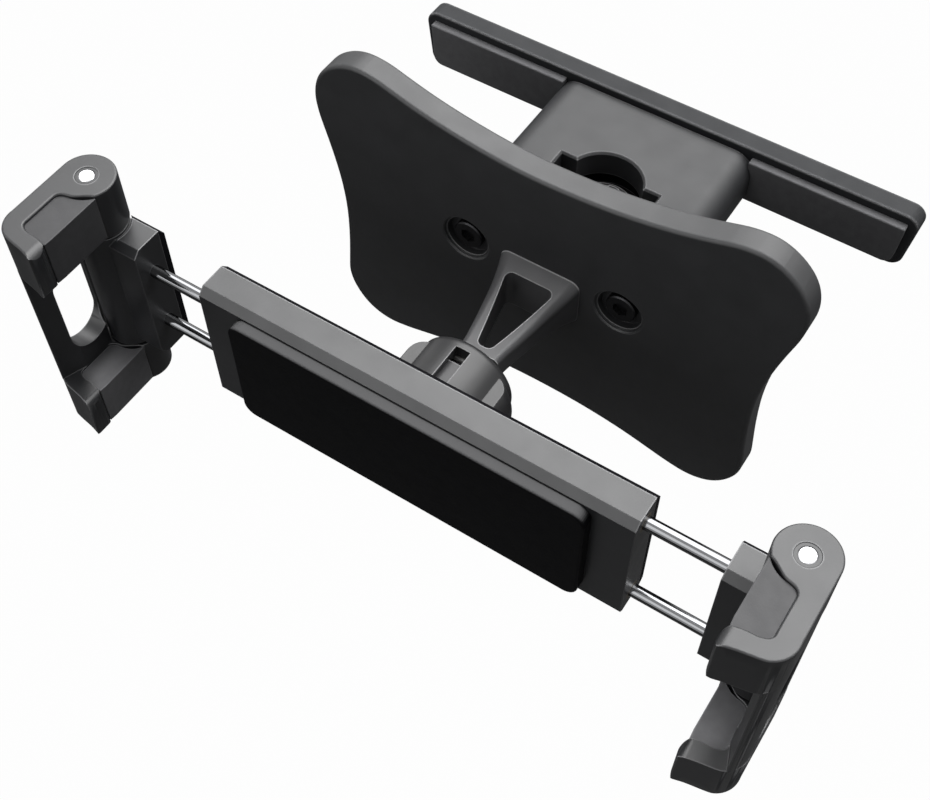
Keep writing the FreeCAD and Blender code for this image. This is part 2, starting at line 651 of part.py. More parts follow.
def rod_bushes():
    bushes = []
    places = []
    for z in (-ROD_Z_RIGHT, ROD_Z_RIGHT):
        places.append((HOLDER_HX - BUSH_LEN, z))
        places.append((GUIDE_X, z))
    for z in (-ROD_Z_LEFT, ROD_Z_LEFT):
        places.append((-HOLDER_HX, z))
    for x, z in places:
        bush = cyl_x(BUSH_R, x, x + BUSH_LEN, ROD_Y, z)
        bushes.append(bush.cut(cyl_x(ROD_R + RUN_FIT, x - 1, x + BUSH_LEN + 1, ROD_Y, z)))
    return Part.makeCompound(bushes)


def pinion_axle():
    return cyl_y(AXLE_R, 1.2, SHELL_Y1 + 1, 0, 0)


def involute(a):
    return math.tan(a) - a


def pinion():
    # Teeth are centred at multiples of 30 degrees, so one points at each rack at rest
    rp = GEAR_MODULE * GEAR_TEETH / 2.0
    press = math.radians(20)
    rb = rp * math.cos(press)
    ra = rp + 0.8 * GEAR_MODULE
    rf = rp - 1.0 * GEAR_MODULE
    half = math.pi / (2 * GEAR_TEETH) - GEAR_BACKLASH / rp
    flank = []
    for k in range(5):
        r = rb + (ra - rb) * k / 4.0
        flank.append((r, half + involute(press) - involute(math.acos(min(1.0, rb / r)))))
    points = []
    for t in range(GEAR_TEETH):
        centre = 2 * math.pi * t / GEAR_TEETH
        side = [(rf, flank[0][1])] + flank
        for r, a in side:
            points.append((r, centre - a))
        for r, a in reversed(side):
            points.append((r, centre + a))
    wire = [V(r * math.cos(a), GEAR_Y0, r * math.sin(a)) for r, a in points]
    gear = polygon(wire, V(0, GEAR_Y1 - GEAR_Y0, 0))
    hub = cyl_y(3.0, GEAR_Y1, DRUM_Y0, 0, 0)
    return gear.fuse(hub).cut(cyl_y(AXLE_R + RUN_FIT, 0, 12, 0, 0))


def pinion_brake():
    drum = cyl_y(DRUM_R, DRUM_Y0, SHELL_Y1 - 0.3, 0, 0)
    groove = cyl_y(DRUM_R - 0.8, SHELL_Y1 - 0.7, SHELL_Y1, 0, 0).cut(cyl_y(3.2, 0, 20, 0, 0))
    return drum.cut(groove).cut(cyl_y(AXLE_R + RUN_FIT, 0, 12, 0, 0))


def rack(right):
    # Drawn for the right arm: teeth below z = RACK_BACK, yoke at negative x
    rp = GEAR_MODULE * GEAR_TEETH / 2.0
    pitch = math.pi * GEAR_MODULE
    slope = math.tan(math.radians(20))
    tip = rp - 0.65 * GEAR_MODULE
    foot = rp + 1.0 * GEAR_MODULE
    rod_z = ROD_Z_RIGHT if right else ROD_Z_LEFT
    x1 = -YOKE_X0
    x0 = x1 - YOKE_T
    bar = box(x0, RACK_REACH, GEAR_Y0, GEAR_Y1, foot, RACK_BACK)
    teeth = []
    count = int((YOKE_X0 - 4.0) / pitch)
    for k in range(-count, int(RACK_REACH / pitch)):
        centre = (k + 0.5) * pitch
        hp = pitch / 4.0 - GEAR_BACKLASH
        wide = hp + (foot - rp) * slope
        narrow = hp - (rp - tip) * slope
        teeth.append(polygon([V(centre - wide, GEAR_Y0, foot), V(centre - narrow, GEAR_Y0, tip),
                              V(centre + narrow, GEAR_Y0, tip), V(centre + wide, GEAR_Y0, foot)],
                             V(0, GEAR_Y1 - GEAR_Y0, 0)))
    strap = box(x0, x1, YOKE_Y0, YOKE_Y1, -rod_z - LUG_HZ, rod_z + LUG_HZ)
    joiner = box(x0, x1, GEAR_Y0, YOKE_Y0 + 0.5, foot, RACK_BACK)
    lugs = []
    for z in (-rod_z, rod_z):
        lugs.append(box(x0, x1, ROD_Y - 2.3, YOKE_Y1, z - LUG_HZ, z + LUG_HZ))
    body = bar.multiFuse(teeth + [strap, joiner] + lugs)
    for z in (-rod_z, rod_z):
        body = body.cut(cyl_x(ROD_R, x0 - 1, x1 + 1, ROD_Y, z))
    body = body.removeSplitter()
    if not right:
        body = mirror_z(mirror_x(body))
    return body


def rod(right, upper):
    rod_z = ROD_Z_RIGHT if right else ROD_Z_LEFT
    z = rod_z if upper else -rod_z
    shape = cyl_x(ROD_R, -YOKE_X0 - YOKE_T, ARM_X0 + ROD_SEAT, ROD_Y, z)
    return shape if right else mirror_x(shape)


def arm_block(right):
    rod_z = ROD_Z_RIGHT if right else ROD_Z_LEFT
    c = FRONT_CHAMFER
    block = section_x(ARM_X0, PIN_X,
                      [(0, -ARM_Z1 + c), (0, ARM_Z1 - c), (c, ARM_Z1), (ARM_STRIP_Y, ARM_Z1),
                       (ARM_STRIP_Y, -ARM_Z1), (c, -ARM_Z1)])
    hollow = PIN_X - BOSS_R - SLIDE_GAP - 0.5
    block = block.cut(box(ARM_X0 + WALL, hollow, WALL, ARM_STRIP_Y + 1, -ARM_Z1 + WALL, ARM_Z1 - WALL))
    for z in (-rod_z, rod_z):
        block = block.fuse(cyl_x(ROD_BOSS_R, ARM_X0 + 0.5, hollow + 0.6, ROD_Y, z))
    knuckle = cyl_z(KNUCKLE_R, -KNUCKLE_HZ, KNUCKLE_HZ, PIN_X, PIN_Y)
    relief = cyl_z(BOSS_R + SLIDE_GAP, KNUCKLE_HZ - 0.9, KNUCKLE_HZ + 5, PIN_X, PIN_Y)
    block = block.cut(relief).cut(mirror_z(relief))
    step = box(PIN_X - 2 * BOSS_R, PIN_X - 0.7, ARM_STRIP_Y, 2 * ARM_Y1, -2 * ARM_Z1, 2 * ARM_Z1)
    block = block.fuse(knuckle.cut(step))
    block = block.cut(cyl_z(PIN_R + RUN_FIT, -2 * ARM_Z1, 2 * ARM_Z1, PIN_X, PIN_Y))
    for z in (-rod_z, rod_z):
        block = block.cut(cyl_x(ROD_R, ARM_X0 - 1, ARM_X0 + ROD_SEAT, ROD_Y, z))
    block = block.removeSplitter()
    return block if right else mirror_x(block)


def arm_cover(right):
    end = PIN_X - COVER_BACK
    cover = section_x(ARM_X0, end, [(ARM_STRIP_Y, ARM_Z1), (ARM_STRIP_Y, -ARM_Z1),
                                    (ARM_Y1, -ARM_Z1 + REAR_CHAMFER), (ARM_Y1, ARM_Z1 - REAR_CHAMFER)])
    cover = cover.cut(cyl_z(BOSS_R + SLIDE_GAP, -2 * ARM_Z1, 2 * ARM_Z1, PIN_X, PIN_Y))
    return cover if right else mirror_x(cover)


def from_pin(p):
    return V(PIN_X + p[0], p[1], 0)


def arc_edge(a, m, b):
    return Part.Arc(from_pin(a), from_pin(m), from_pin(b)).toShape()


def line_edge(a, b):
    return Part.LineSegment(from_pin(a), from_pin(b)).toShape()


def spline_edge(points):
    curve = Part.BSplineCurve()
    curve.interpolate([from_pin(p) for p in points])
    return curve.toShape()


def closed_face(edges, z):
    face = Part.Face(Part.Wire(Part.__sortEdges__(edges)))
    face.translate(V(0, 0, z))
    return face


def hook_arm(z0, z1):
    # The upper of a bracket's two hooks, seen from above
    rear = (0.0, PIN_Y + BOSS_R)
    edges = []
    edges.append(arc_edge((WALL_OUT, PIN_Y), (BOSS_R * 0.7071, PIN_Y + BOSS_R * 0.7071), rear))
    edges.append(arc_edge(rear, (-BOSS_R * 0.9239, PIN_Y + BOSS_R * 0.3827), POCKET_REAR[0]))
    edges.append(spline_edge(POCKET_REAR))
    edges.append(line_edge(POCKET_REAR[-1], LIP_INNER[0]))
    edges.append(spline_edge(LIP_INNER))
    edges.append(arc_edge(LIP_INNER[-1], LIP_TIP, LIP_OUTER[-1]))
    edges.append(spline_edge(list(reversed(LIP_OUTER))))
    edges.append(arc_edge(LIP_OUTER[0], (WALL_OUT - 1.0, WALL_END - 4.6), (WALL_OUT, WALL_END)))
    edges.append(line_edge((WALL_OUT, WALL_END), (WALL_OUT, PIN_Y)))
    arm = closed_face(edges, z0).extrude(V(0, 0, z1 - z0))
    rim = []
    for edge in arm.Edges:
        if abs(edge.BoundBox.ZMin - z1) < 1e-4 and abs(edge.BoundBox.ZMax - z1) < 1e-4:
            rim.append(edge)
    return arm.makeFillet(HOOK_ROUND, rim)


def hook_wall():
    # The outer wall that joins the two hooks, with the long opening for a plug or a finger
    end = (WALL_OUT, WALL_END)
    tip = (WALL_OUT - 2.3, WALL_END - 6.3)
    nose = (WALL_OUT - 3.1, WALL_END - 6.0)
    inner = (WALL_IN, WALL_END + 0.5)
    edges = [line_edge((WALL_OUT, PIN_Y), end)]
    edges.append(arc_edge(end, (WALL_OUT - 0.6, WALL_END - 3.5), tip))
    edges.append(arc_edge(tip, (WALL_OUT - 2.85, WALL_END - 6.45), nose))
    edges.append(line_edge(nose, inner))
    edges.append(line_edge(inner, (WALL_IN, PIN_Y)))
    edges.append(line_edge((WALL_IN, PIN_Y), (WALL_OUT, PIN_Y)))
    reach = HOOK_Z0 + 0.5
    wall = closed_face(edges, -reach).extrude(V(0, 0, 2 * reach))
    wall = wall.cut(cyl_z(BOSS_R + SLIDE_GAP, -HOOK_Z0, HOOK_Z0, PIN_X, PIN_Y))
    centre = (WINDOW_Y0 + WINDOW_Y1) / 2.0
    r = (WINDOW_Y1 - WINDOW_Y0) / 2.0
    x0 = PIN_X
    x1 = PIN_X + WALL_OUT + 1.0
    wall = wall.cut(box(x0, x1, WINDOW_Y0, WINDOW_Y1, -WINDOW_HZ + r, WINDOW_HZ - r))
    for z in (WINDOW_HZ - r, r - WINDOW_HZ):
        wall = wall.cut(cyl_x(r, x0, x1, centre, z))
    return wall


def hook_bracket():
    upper = hook_arm(HOOK_Z0, HOOK_Z1)
    bracket = upper.multiFuse([mirror_z(upper), hook_wall()]).removeSplitter()
    bracket = bracket.cut(cyl_z(PIN_R, -HOOK_Z1 - 1, HOOK_Z1 + 1, PIN_X, PIN_Y))
    sink = cyl_z(PIN_RING_R, HOOK_Z1 - PIN_RING_T, HOOK_Z1 + 1, PIN_X, PIN_Y)
    return bracket.cut(sink).cut(mirror_z(sink))


def hook_pad(upper):
    # Fills the hook's pocket with the same curves as the hook itself
    back = (HOOK_PAD_IN - 1.2, 0.0)
    edges = [spline_edge(POCKET_REAR)]
    edges.append(line_edge(POCKET_REAR[-1], LIP_INNER[0]))
    edges.append(spline_edge(LIP_INNER))
    edges.append(line_edge(LIP_INNER[-1], back))
    edges.append(line_edge(back, POCKET_REAR[0]))
    pad = closed_face(edges, HOOK_PAD_Z0).extrude(V(0, 0, HOOK_PAD_Z1 - HOOK_PAD_Z0))
    low = LIP_INNER[-1][1] + 0.3
    pad = pad.common(box(PIN_X + HOOK_PAD_IN, PIN_X + WALL_IN + 0.2, low, 0.0, HOOK_PAD_Z0, HOOK_PAD_Z1))
    pad = pad.cut(cyl_z(BOSS_R, 0, HOOK_Z1, PIN_X, PIN_Y))
    return pad if upper else mirror_z(pad)


def hinge_pin():
    top = HOOK_Z1 + 0.1
    pin = cyl_z(PIN_R, -top, top, PIN_X, PIN_Y)
    rim = []
    for edge in pin.Edges:
        if edge.BoundBox.ZLength < 1e-4:
            rim.append(edge)
    return pin.makeChamfer(0.3, rim)


def pin_rings():
    ring = cyl_z(PIN_RING_R, HOOK_Z1 - PIN_RING_T, HOOK_Z1 - 0.12, PIN_X, PIN_Y)
    ring = ring.cut(cyl_z(PIN_R, 0, HOOK_Z1 + 1, PIN_X, PIN_Y))
    return Part.makeCompound([ring, mirror_z(ring)])


def sided(shape, right):
    return shape if right else mirror_x(shape)


def save(name, shape):
    shape.exportStep("parts/%s.step" % name)


save("front_plate", front_plate())
save("plate_screws", plate_screws())
save("slide_core", slide_core())
save("strut_arm", strut_arm())
save("ball_stud", holder_place(ball_stud()))
save("clamp_block", clamp_block())
save("rear_bar", rear_bar())
save("bar_screws", bar_screws())
save("rear_pad_right", rear_pad(1))
save("rear_pad_left", rear_pad(-1))
save("lock_knob", lock_knob())
save("ball_ring", holder_place(ball_ring()))
save("ball_cup", holder_place(ball_cup()))
save("ball_socket", holder_place(ball_socket()))
save("ball_nut", holder_place(ball_nut()))
save("holder_shell", holder_place(holder_shell()))
save("holder_back", holder_place(holder_back()))
save("holder_pad", holder_place(holder_pad()))
save("cover_screws", holder_place(cover_screws()))
save("rod_bushes", holder_place(rod_bushes()))
save("pinion_axle", holder_place(pinion_axle()))
save("pinion", holder_place(pinion()))
save("pinion_brake", holder_place(pinion_brake()))
for name, right in (("right", True), ("left", False)):
    save("rack_" + name, holder_place(rack(right)))
    save("rod_upper_" + name, holder_place(rod(right, True)))
    save("rod_lower_" + name, holder_place(rod(right, False)))
    save("arm_block_" + name, holder_place(arm_block(right)))
    save("arm_cover_" + name, holder_place(arm_cover(right)))
    save("hook_" + name, holder_place(sided(hook_bracket(), right)))
    save("hook_pad_upper_" + name, holder_place(sided(hook_pad(True), right)))
    save("hook_pad_lower_" + name, holder_place(sided(hook_pad(False), right)))
    save("hinge_pin_" + name, holder_place(sided(hinge_pin(), right)))
    save("pin_rings_" + name, holder_place(sided(pin_rings(), right)))
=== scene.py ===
import json
import math

import bmesh
import bpy
from mathutils import Matrix, Vector


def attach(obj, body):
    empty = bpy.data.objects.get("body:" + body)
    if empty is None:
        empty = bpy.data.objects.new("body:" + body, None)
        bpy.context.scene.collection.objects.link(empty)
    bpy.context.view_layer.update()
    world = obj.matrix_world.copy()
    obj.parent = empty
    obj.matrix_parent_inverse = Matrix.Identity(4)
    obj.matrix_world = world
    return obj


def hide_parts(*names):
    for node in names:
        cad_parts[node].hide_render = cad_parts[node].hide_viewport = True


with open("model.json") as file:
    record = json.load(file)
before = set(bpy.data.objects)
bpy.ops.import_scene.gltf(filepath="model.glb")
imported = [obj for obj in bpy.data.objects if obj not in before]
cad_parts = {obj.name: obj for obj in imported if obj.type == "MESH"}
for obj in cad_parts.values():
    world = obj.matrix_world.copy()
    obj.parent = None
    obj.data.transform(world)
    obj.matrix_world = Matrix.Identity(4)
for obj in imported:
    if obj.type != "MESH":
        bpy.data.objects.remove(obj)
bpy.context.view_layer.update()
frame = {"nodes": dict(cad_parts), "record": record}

nodes = frame["nodes"]
scene = bpy.context.scene

# Camera, solved from the photograph's straight edges. Metres and degrees, lens and sensor in millimetres
CAMERA_PLACE = Vector((0.11136, -0.21329, 0.28288))
CAMERA_AZIMUTH = 33.321
CAMERA_ELEVATION = 55.248
CAMERA_ROLL = -0.332
CAMERA_LENS = 53.11
CAMERA_SENSOR = 36.0
CAMERA_NEAR = 0.01
CAMERA_FAR = 20.0

# The pale floor lies well below the part, as the photograph shows none. The last two values are the
# share of plain white in what the camera and what metal see of it
FLOOR_Z = -3.40
FLOOR_HALF = 14.0
FLOOR_GREY = 0.27
FLOOR_MOTTLE = 0.01
FLOOR_MOTTLE_SCALE = 40.0
FLOOR_SEEN = 0.985
FLOOR_MIRRORED = 0.03

# The white world's strength where it lights the part, and where it is seen or mirrored
WORLD_LIGHT = 0.15
WORLD_SEEN = 1.0

# Each lamp's name, place, width in metres, power in watts and spread in degrees. The main one stands
# where level faces mirror it to the camera, the weak ones where chamfers and right slopes do
SOFTBOXES = (
    ("softbox_top", (-0.14, 0.71, 1.31), 2.0, 26.0, 120.0),
    ("softbox_front", (-0.47, -1.23, 0.72), 1.2, 6.0, 180.0),
    ("softbox_right", (0.83, 0.72, 1.02), 0.8, 4.0, 180.0),
)

# Colours that several finishes share
BLACK = (0.022, 0.0225, 0.024)
DEEP_BLACK = (0.014, 0.0145, 0.016)
# Painted highlights for the outer edges, which the upper edges take most
EDGE_HIGHLIGHT = (0.26, 0.26, 0.268)
PALE_EDGE_HIGHLIGHT = (0.45, 0.45, 0.46)

# How many rays round an edge off, and how many tell an outer edge from an inner one
ROUND_SAMPLES = 6
OUTER_SAMPLES = 8

# A hook bracket's lips begin at this y. Their finger tips round off inward of this x, over this
# radius and in this many steps
LIP_Y = -0.0875
TIP_X = 0.0918
TIP_R = 0.0025
TIP_CUTS = 9

# Vertices nearer to each other than the first value become one, and a cut goes through a vertex
# that is nearer to it than the second
SAME_VERTEX = 1e-6
SAME_CUT = 1e-7
# Edges that bend by more than this many degrees stay sharp
SHARP = 24
# A face lies square to an axis where its normal has a part above this
SQUARE = 0.99999


def make_camera():
    az, el, roll = (math.radians(a) for a in (CAMERA_AZIMUTH, CAMERA_ELEVATION, CAMERA_ROLL))
    forward = Vector((-math.sin(az) * math.cos(el), math.cos(az) * math.cos(el), -math.sin(el)))
    right = Vector((math.cos(az), math.sin(az), 0.0))
    down = forward.cross(right)
    right_rolled = math.cos(roll) * right - math.sin(roll) * down
    down_rolled = math.sin(roll) * right + math.cos(roll) * down
    data = bpy.data.cameras.new("photo_camera")
    data.sensor_width = CAMERA_SENSOR
    data.lens = CAMERA_LENS
    data.clip_start = CAMERA_NEAR
    data.clip_end = CAMERA_FAR
    camera = bpy.data.objects.new("photo_camera", data)
    scene.collection.objects.link(camera)
    turn = Matrix((right_rolled, -down_rolled, -forward)).transposed()
    camera.matrix_world = Matrix.Translation(CAMERA_PLACE) @ turn.to_4x4()
    scene.camera = camera


def calculate(tree, operation, a, b):
    """A math node's result, where a and b are numbers or the outputs of other nodes."""
    node = tree.nodes.new("ShaderNodeMath")
    node.operation = operation
    for socket, value in zip(node.inputs, (a, b)):
        if isinstance(value, bpy.types.NodeSocket):
            tree.links.new(value, socket)
        else:
            socket.default_value = value
    return node.outputs[0]


def map_range(tree, value, low, high, start=0.0, end=1.0):
    """Runs from low to high while the value runs from start to end."""
    node = tree.nodes.new("ShaderNodeMapRange")
    node.inputs["From Min"].default_value = start
    node.inputs["From Max"].default_value = end
    node.inputs["To Min"].default_value = low
    node.inputs["To Max"].default_value = high
    tree.links.new(value, node.inputs["Value"])
    return node.outputs["Result"]


class Maker:
    """Short hand for the nodes of one material."""

    def __init__(self, name):
        self.mat = bpy.data.materials.new(name)
        self.mat.use_nodes = True
        self.tree = self.mat.node_tree
        self.inputs = self.tree.nodes["Principled BSDF"].inputs
        self.coords = self.tree.nodes.new("ShaderNodeTexCoord").outputs["Object"]

    def link(self, out, socket):
        self.tree.links.new(out, socket)

    def noise(self, scale, detail, stretch=(1, 1, 1)):
        mapping = self.tree.nodes.new("ShaderNodeMapping")
        mapping.inputs["Scale"].default_value = stretch
        self.link(self.coords, mapping.inputs["Vector"])
        node = self.tree.nodes.new("ShaderNodeTexNoise")
        node.inputs["Scale"].default_value = scale
        node.inputs["Detail"].default_value = detail
        self.link(mapping.outputs["Vector"], node.inputs["Vector"])
        return node.outputs["Fac"]

    def spread(self, value, low, high, start=0.3, end=0.7):
        """A map range that starts and ends where a noise usually does."""
        return map_range(self.tree, value, low, high, start, end)

    def mix(self, factor, a, b):
        node = self.tree.nodes.new("ShaderNodeMix")
        node.data_type = "RGBA"
        self.link(factor, node.inputs["Factor"])
        for socket, value in ((node.inputs["A"], a), (node.inputs["B"], b)):
            if isinstance(value, bpy.types.NodeSocket):
                self.link(value, socket)
            else:
                socket.default_value = (*value, 1.0)
        return node.outputs["Result"]

    def rise(self, normal):
        """How much a normal points up."""
        parts = self.tree.nodes.new("ShaderNodeSeparateXYZ")
        self.link(normal, parts.inputs[0])
        return parts.outputs["Z"]

    def edge(self, radius):
        """The normal with edges rounded, and a mask of the outer edges for a painted highlight, strongest
        on the edges that face up.
        """
        bevel = self.tree.nodes.new("ShaderNodeBevel")
        bevel.samples = ROUND_SAMPLES
        bevel.inputs["Radius"].default_value = radius
        normal = bevel.outputs["Normal"]
        inner = self.tree.nodes.new("ShaderNodeAmbientOcclusion")
        inner.inside = True
        inner.only_local = True
        inner.samples = OUTER_SAMPLES
        inner.inputs["Distance"].default_value = radius
        outer = self.spread(inner.outputs["AO"], low=1.0, high=0.0, start=0.60, end=0.92)
        lit = self.spread(self.rise(normal), low=0.25, high=1.0, start=0.10, end=0.45)
        return normal, calculate(self.tree, "MULTIPLY", outer, lit)

    def upward(self):
        """Where the faces point up."""
        geometry = self.tree.nodes.new("ShaderNodeNewGeometry")
        rise = self.rise(geometry.outputs["True Normal"])
        return self.spread(rise, low=0.0, high=1.0, start=0.55, end=0.90)

    def bump(self, height, strength, depth, normal=None):
        node = self.tree.nodes.new("ShaderNodeBump")
        node.inputs["Strength"].default_value = strength
        node.inputs["Distance"].default_value = depth
        self.link(height, node.inputs["Height"])
        if normal is not None:
            self.link(normal, node.inputs["Normal"])
        return node.outputs["Normal"]


def shade(colour, share, lift=0.0):
    return [c * share + lift for c in colour]


def moulded(name, colour, rough, grain=2600.0, depth=0.00002, ior=1.54, edge_highlight=EDGE_HIGHLIGHT, radius=0.0004):
    """Moulded plastic: fine grain, faint mottling, and a painted highlight along the outer edges, brightest
    on the upward ones.
    """
    m = Maker(name)
    normal, highlight_rim = m.edge(radius)
    mottle = m.spread(m.noise(scale=90.0, detail=4.0), low=0.0, high=1.0)
    body = m.mix(mottle, shade(colour, share=0.88), shade(colour, share=1.14))
    # Painted highlight: the outer edges take the lighter edge highlight colour
    m.link(m.mix(highlight_rim, body, edge_highlight), m.inputs["Base Color"])
    polish = m.noise(scale=140.0, detail=3.0)
    m.link(m.spread(polish, low=rough - 0.03, high=rough + 0.03), m.inputs["Roughness"])
    fine = m.noise(scale=grain, detail=2.0)
    m.link(m.bump(fine, strength=0.35, depth=depth, normal=normal), m.inputs["Normal"])
    m.inputs["IOR"].default_value = ior
    return m.mat


def soft(name, colour, rough, ior=1.25, painted_top_light=None):
    """Soft rubber: coarser grain, dull, blotched, with a painted highlight on the outer edges. Upward faces
    take a painted top light colour, if one is given.
    """
    m = Maker(name)
    normal, highlight_rim = m.edge(radius=0.0005)
    blotches = m.spread(m.noise(scale=420.0, detail=6.0), low=0.0, high=0.5, start=0.35, end=0.8)
    body = m.mix(blotches, colour, shade(colour, share=1.35, lift=0.002))
    if painted_top_light is not None:
        # Painted light: upward faces take a lighter colour, as a lamp above would make them
        body = m.mix(m.upward(), body, painted_top_light)
    # Painted highlight: the outer edges are lighter than the rubber
    m.link(m.mix(highlight_rim, body, shade(colour, share=1.8, lift=0.006)), m.inputs["Base Color"])
    polish = m.noise(scale=220.0, detail=2.0)
    m.link(m.spread(polish, low=rough - 0.04, high=rough + 0.04), m.inputs["Roughness"])
    coarse = m.noise(scale=1500.0, detail=3.0)
    m.link(m.bump(coarse, strength=0.5, depth=0.00006, normal=normal), m.inputs["Normal"])
    m.inputs["IOR"].default_value = ior
    return m.mat


def metal(name, colour, rough, stretch=(1, 1, 1), grain=1200.0, strength=0.15):
    """Drawn or turned metal with fine lines along or round it."""
    m = Maker(name)
    lines = m.noise(scale=grain, detail=4.0, stretch=stretch)
    tint = m.mix(m.spread(lines, low=0.0, high=1.0), shade(colour, share=0.9), colour)
    m.link(tint, m.inputs["Base Color"])
    m.link(m.spread(lines, low=rough * 0.8, high=rough * 1.3), m.inputs["Roughness"])
    m.link(m.bump(lines, strength=strength, depth=0.00001), m.inputs["Normal"])
    m.inputs["Metallic"].default_value = 1.0
    return m.mat


def slot_finishes():
    """The finish of each material slot in the record."""
    return {
        "plate_plastic": moulded(
            "plate_black", (0.021, 0.0215, 0.023), 0.48, grain=2200.0, depth=0.00003,
            edge_highlight=(0.34, 0.34, 0.345)),
        "strut_plastic": moulded("strut_black", (0.055, 0.055, 0.058), 0.44, edge_highlight=(0.52, 0.52, 0.53)),
        "ball_plastic": moulded("ball_black", (0.05, 0.05, 0.052), 0.22, grain=3000.0, depth=0.000005),
        "clamp_plastic": moulded("clamp_black", BLACK, 0.50, ior=1.43, edge_highlight=PALE_EDGE_HIGHLIGHT, radius=0.0006),
        "bar_plastic": moulded(
            "bar_grained", (0.018, 0.019, 0.021), 0.60, grain=1300.0, depth=0.00012, ior=1.31,
            edge_highlight=(0.42, 0.42, 0.43), radius=0.0008),
        "core_plastic": moulded("core_black", BLACK, 0.5),
        "knob_plastic": moulded("knob_black", (0.020, 0.020, 0.021), 0.45, ior=1.45, edge_highlight=PALE_EDGE_HIGHLIGHT),
        "friction_plastic": moulded("ring_natural", (0.42, 0.42, 0.40), 0.35),
        "socket_plastic": moulded("socket_grey", (0.04, 0.04, 0.042), 0.35, ior=1.38),
        "nut_plastic": moulded(
            "nut_black", (0.024, 0.024, 0.025), 0.36, grain=2800.0, ior=1.48, edge_highlight=(0.20, 0.20, 0.205)),
        "holder_plastic": moulded("holder_black", DEEP_BLACK, 0.36),
        "cover_plastic": moulded(
            "cover_black", (0.004, 0.004, 0.005), 0.60, grain=1900.0, depth=0.00004, ior=1.16,
            edge_highlight=(0.006, 0.006, 0.007)),
        "gear_plastic": moulded("gear_natural", (0.55, 0.54, 0.50), 0.4),
        "hook_plastic": moulded("hook_black", DEEP_BLACK, 0.36, edge_highlight=(0.18, 0.18, 0.185)),
        "soft_pad": soft("pad_rubber", (0.002, 0.002, 0.0024), 0.40, ior=1.15, painted_top_light=(0.076, 0.076, 0.078)),
        "hook_pad": soft("hook_rubber", (0.036, 0.036, 0.038), 0.50, ior=1.40),
        "brake_rubber": soft("brake_rubber", (0.03, 0.03, 0.03), 0.7),
        "bush_brass": metal("bush_bronze", (0.20, 0.175, 0.135), 0.45),
        "rod_steel": metal(
            "rod_bright", (0.20, 0.203, 0.21), 0.10, stretch=(0.02, 1, 1), grain=700.0, strength=0.03),
        "screw_steel": metal(
            "screw_dark", (0.035, 0.035, 0.037), 0.40, stretch=(1, 0.2, 1), grain=1800.0),
    }


def own_finishes():
    """The finish of each node that looks unlike the rest of its slot."""
    finish_of = {
        "rear_pad": soft("rear_rubber", (0.120, 0.120, 0.125), 0.66),
        # Painted light: the lower hook pads are a lighter copy of the hook rubber, standing in for the top
        # light that the upper hooks shade from them
        "hook_pad_lower": soft("lower_hook_rubber_painted_light", (0.140, 0.140, 0.146), 0.52, ior=1.38),
        "pin_rings": moulded("pin_ring_black", DEEP_BLACK, 0.36, edge_highlight=DEEP_BLACK),
        "hinge_pin": metal("pin_bright", (0.92, 0.92, 0.94), 0.28),
    }
    return {part + "_" + side: finish for part, finish in finish_of.items() for side in ("right", "left")}


def dress_nodes(finishes):
    """Every CAD node keeps its shape and gets its finish here."""
    own = own_finishes()
    slots = {s["node"]: s["material_slot"] for s in frame["record"]["subparts"]}
    for name, obj in nodes.items():
        material = own.get(name) or finishes[slots[name]]
        obj.data.materials.clear()
        obj.data.materials.append(material)
        for face in obj.data.polygons:
            face.material_index = 0


def cut_faces(work, faces, place, across):
    """Cuts the faces by the plane through a place, square to a direction."""
    edges = {e for f in faces for e in f.edges}
    verts = {v for f in faces for v in f.verts}
    geometry = faces + list(edges) + list(verts)
    bmesh.ops.bisect_plane(work, geom=geometry, dist=SAME_CUT, plane_co=place, plane_no=across)


def tip_drop(depth):
    """How far a finger tip has rounded off at this depth inward of TIP_X."""
    inset = min(depth, TIP_R)
    return TIP_R - math.sqrt(TIP_R ** 2 - inset ** 2)


def keep_flat(mesh):
    """Rounded edges shade smoothly into the flat faces, and these stay flat up to their borders."""
    mesh.shade_smooth()
    mesh.set_sharp_from_angle(angle=math.radians(SHARP))
    normals = [tuple(corner.vector) for corner in mesh.corner_normals]
    for face in mesh.polygons:
        if max(abs(part) for part in face.normal) > SQUARE:
            for loop in face.loop_indices:
                normals[loop] = tuple(face.normal)
    mesh.normals_split_custom_set(normals)


def round_tips(side):
    """A hook bracket whose finger tips round off, above and below. The CAD one has square tips."""
    source = nodes["hook_" + side]
    sign = 1.0 if side == "right" else -1.0
    heights = sorted(v.co.z for v in source.data.vertices if v.co.y < LIP_Y)
    top = heights[-1]
    foot = min(z for z in heights if z > 0.0)
    work = bmesh.new()
    work.from_mesh(source.data)
    bmesh.ops.remove_doubles(work, verts=work.verts, dist=SAME_VERTEX)
    cut_faces(work, work.faces[:], (0, LIP_Y, 0), (0, 1, 0))
    for i in range(TIP_CUTS + 1):
        cut_x = sign * (TIP_X - TIP_R * math.sin(math.pi / 2 * i / TIP_CUTS))
        lips = [f for f in work.faces if all(v.co.y < LIP_Y + SAME_VERTEX for v in f.verts)]
        cut_faces(work, lips, (cut_x, 0, 0), (1, 0, 0))
    for vert in work.verts:
        depth = TIP_X - sign * vert.co.x
        if vert.co.y > LIP_Y or depth <= 0.0:
            continue
        drop = tip_drop(depth)
        half = 1.0 if vert.co.z > 0 else -1.0
        vert.co.z = half * min(max(abs(vert.co.z), foot + drop), top - drop)
    mesh = bpy.data.meshes.new("hook_bracket_" + side)
    work.to_mesh(mesh)
    work.free()
    keep_flat(mesh)
    piece = bpy.data.objects.new("hook_bracket_" + side, mesh)
    scene.collection.objects.link(piece)
    return piece


def make_hooks(plastic):
    for side in ("right", "left"):
        piece = round_tips(side)
        piece.data.materials.append(plastic)
        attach(piece, "hook_" + side)
        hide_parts("hook_" + side)


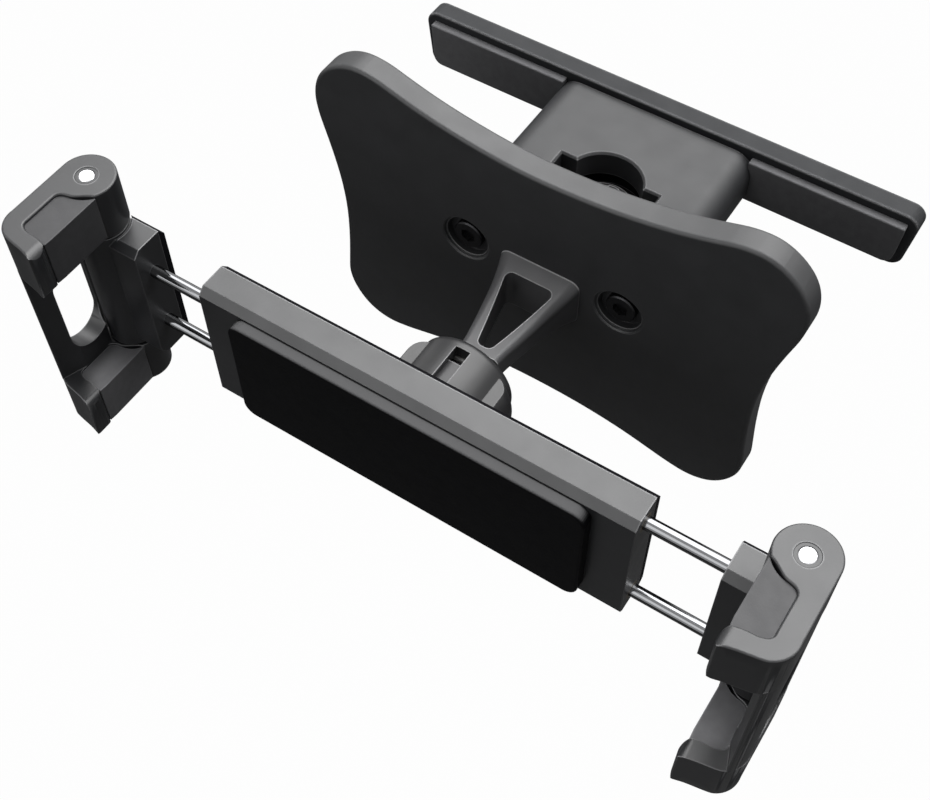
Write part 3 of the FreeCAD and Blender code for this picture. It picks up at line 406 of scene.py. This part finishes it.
def seen_white(material):
    """A surface that lights the part as a grey one does, and that the camera sees as nearly plain white."""
    material.use_nodes = True
    tree = material.node_tree
    tree.nodes.clear()
    mottle = tree.nodes.new("ShaderNodeTexNoise")
    mottle.inputs["Scale"].default_value = FLOOR_MOTTLE_SCALE
    tint = map_range(tree, mottle.outputs["Fac"], FLOOR_GREY - FLOOR_MOTTLE, FLOOR_GREY + FLOOR_MOTTLE)
    diffuse = tree.nodes.new("ShaderNodeBsdfDiffuse")
    tree.links.new(tint, diffuse.inputs["Color"])
    glow = tree.nodes.new("ShaderNodeEmission")
    glow.inputs["Strength"].default_value = 1.0
    path = tree.nodes.new("ShaderNodeLightPath").outputs
    direct = calculate(tree, "MAXIMUM", path["Is Camera Ray"], path["Is Transmission Ray"])
    seen = calculate(tree, "MULTIPLY", direct, FLOOR_SEEN)
    mirrored = calculate(tree, "MULTIPLY", path["Is Glossy Ray"], FLOOR_MIRRORED)
    mixed = tree.nodes.new("ShaderNodeMixShader")
    tree.links.new(calculate(tree, "MAXIMUM", seen, mirrored), mixed.inputs[0])
    tree.links.new(diffuse.outputs[0], mixed.inputs[1])
    tree.links.new(glow.outputs[0], mixed.inputs[2])
    out = tree.nodes.new("ShaderNodeOutputMaterial")
    tree.links.new(mixed.outputs[0], out.inputs["Surface"])


def make_floor():
    half, z = FLOOR_HALF, FLOOR_Z
    corners = [(-half, -half, z), (half, -half, z), (half, half, z), (-half, half, z)]
    mesh = bpy.data.meshes.new("floor")
    mesh.from_pydata(corners, [], [(0, 1, 2, 3)])
    floor = bpy.data.objects.new("floor", mesh)
    scene.collection.objects.link(floor)
    material = bpy.data.materials.new("floor_pale")
    seen_white(material)
    mesh.materials.append(material)


def make_world():
    """A white world, weak as a light and full white where it is seen or mirrored."""
    world = bpy.data.worlds.new("studio")
    scene.world = world
    world.use_nodes = True
    tree = world.node_tree
    tree.nodes.clear()
    path = tree.nodes.new("ShaderNodeLightPath").outputs
    bright = calculate(tree, "MAXIMUM", path["Is Camera Ray"], path["Is Glossy Ray"])
    back = tree.nodes.new("ShaderNodeBackground")
    back.inputs["Color"].default_value = (1.0, 1.0, 1.0, 1.0)
    tree.links.new(map_range(tree, bright, WORLD_LIGHT, WORLD_SEEN), back.inputs["Strength"])
    out = tree.nodes.new("ShaderNodeOutputWorld")
    tree.links.new(back.outputs[0], out.inputs["Surface"])


def make_lights():
    """Round lamps that all face the frame's origin."""
    for name, place, width, watts, spread in SOFTBOXES:
        data = bpy.data.lights.new(name, "AREA")
        data.shape = "DISK"
        data.size = width
        data.energy = watts
        data.spread = math.radians(spread)
        lamp = bpy.data.objects.new(name, data)
        scene.collection.objects.link(lamp)
        lamp.location = place
        lamp.rotation_euler = (-Vector(place)).to_track_quat("-Z", "Y").to_euler()


make_camera()
finishes = slot_finishes()
dress_nodes(finishes)
make_hooks(finishes["hook_plastic"])
make_floor()
make_world()
make_lights()

scene.view_settings.view_transform = "Standard"
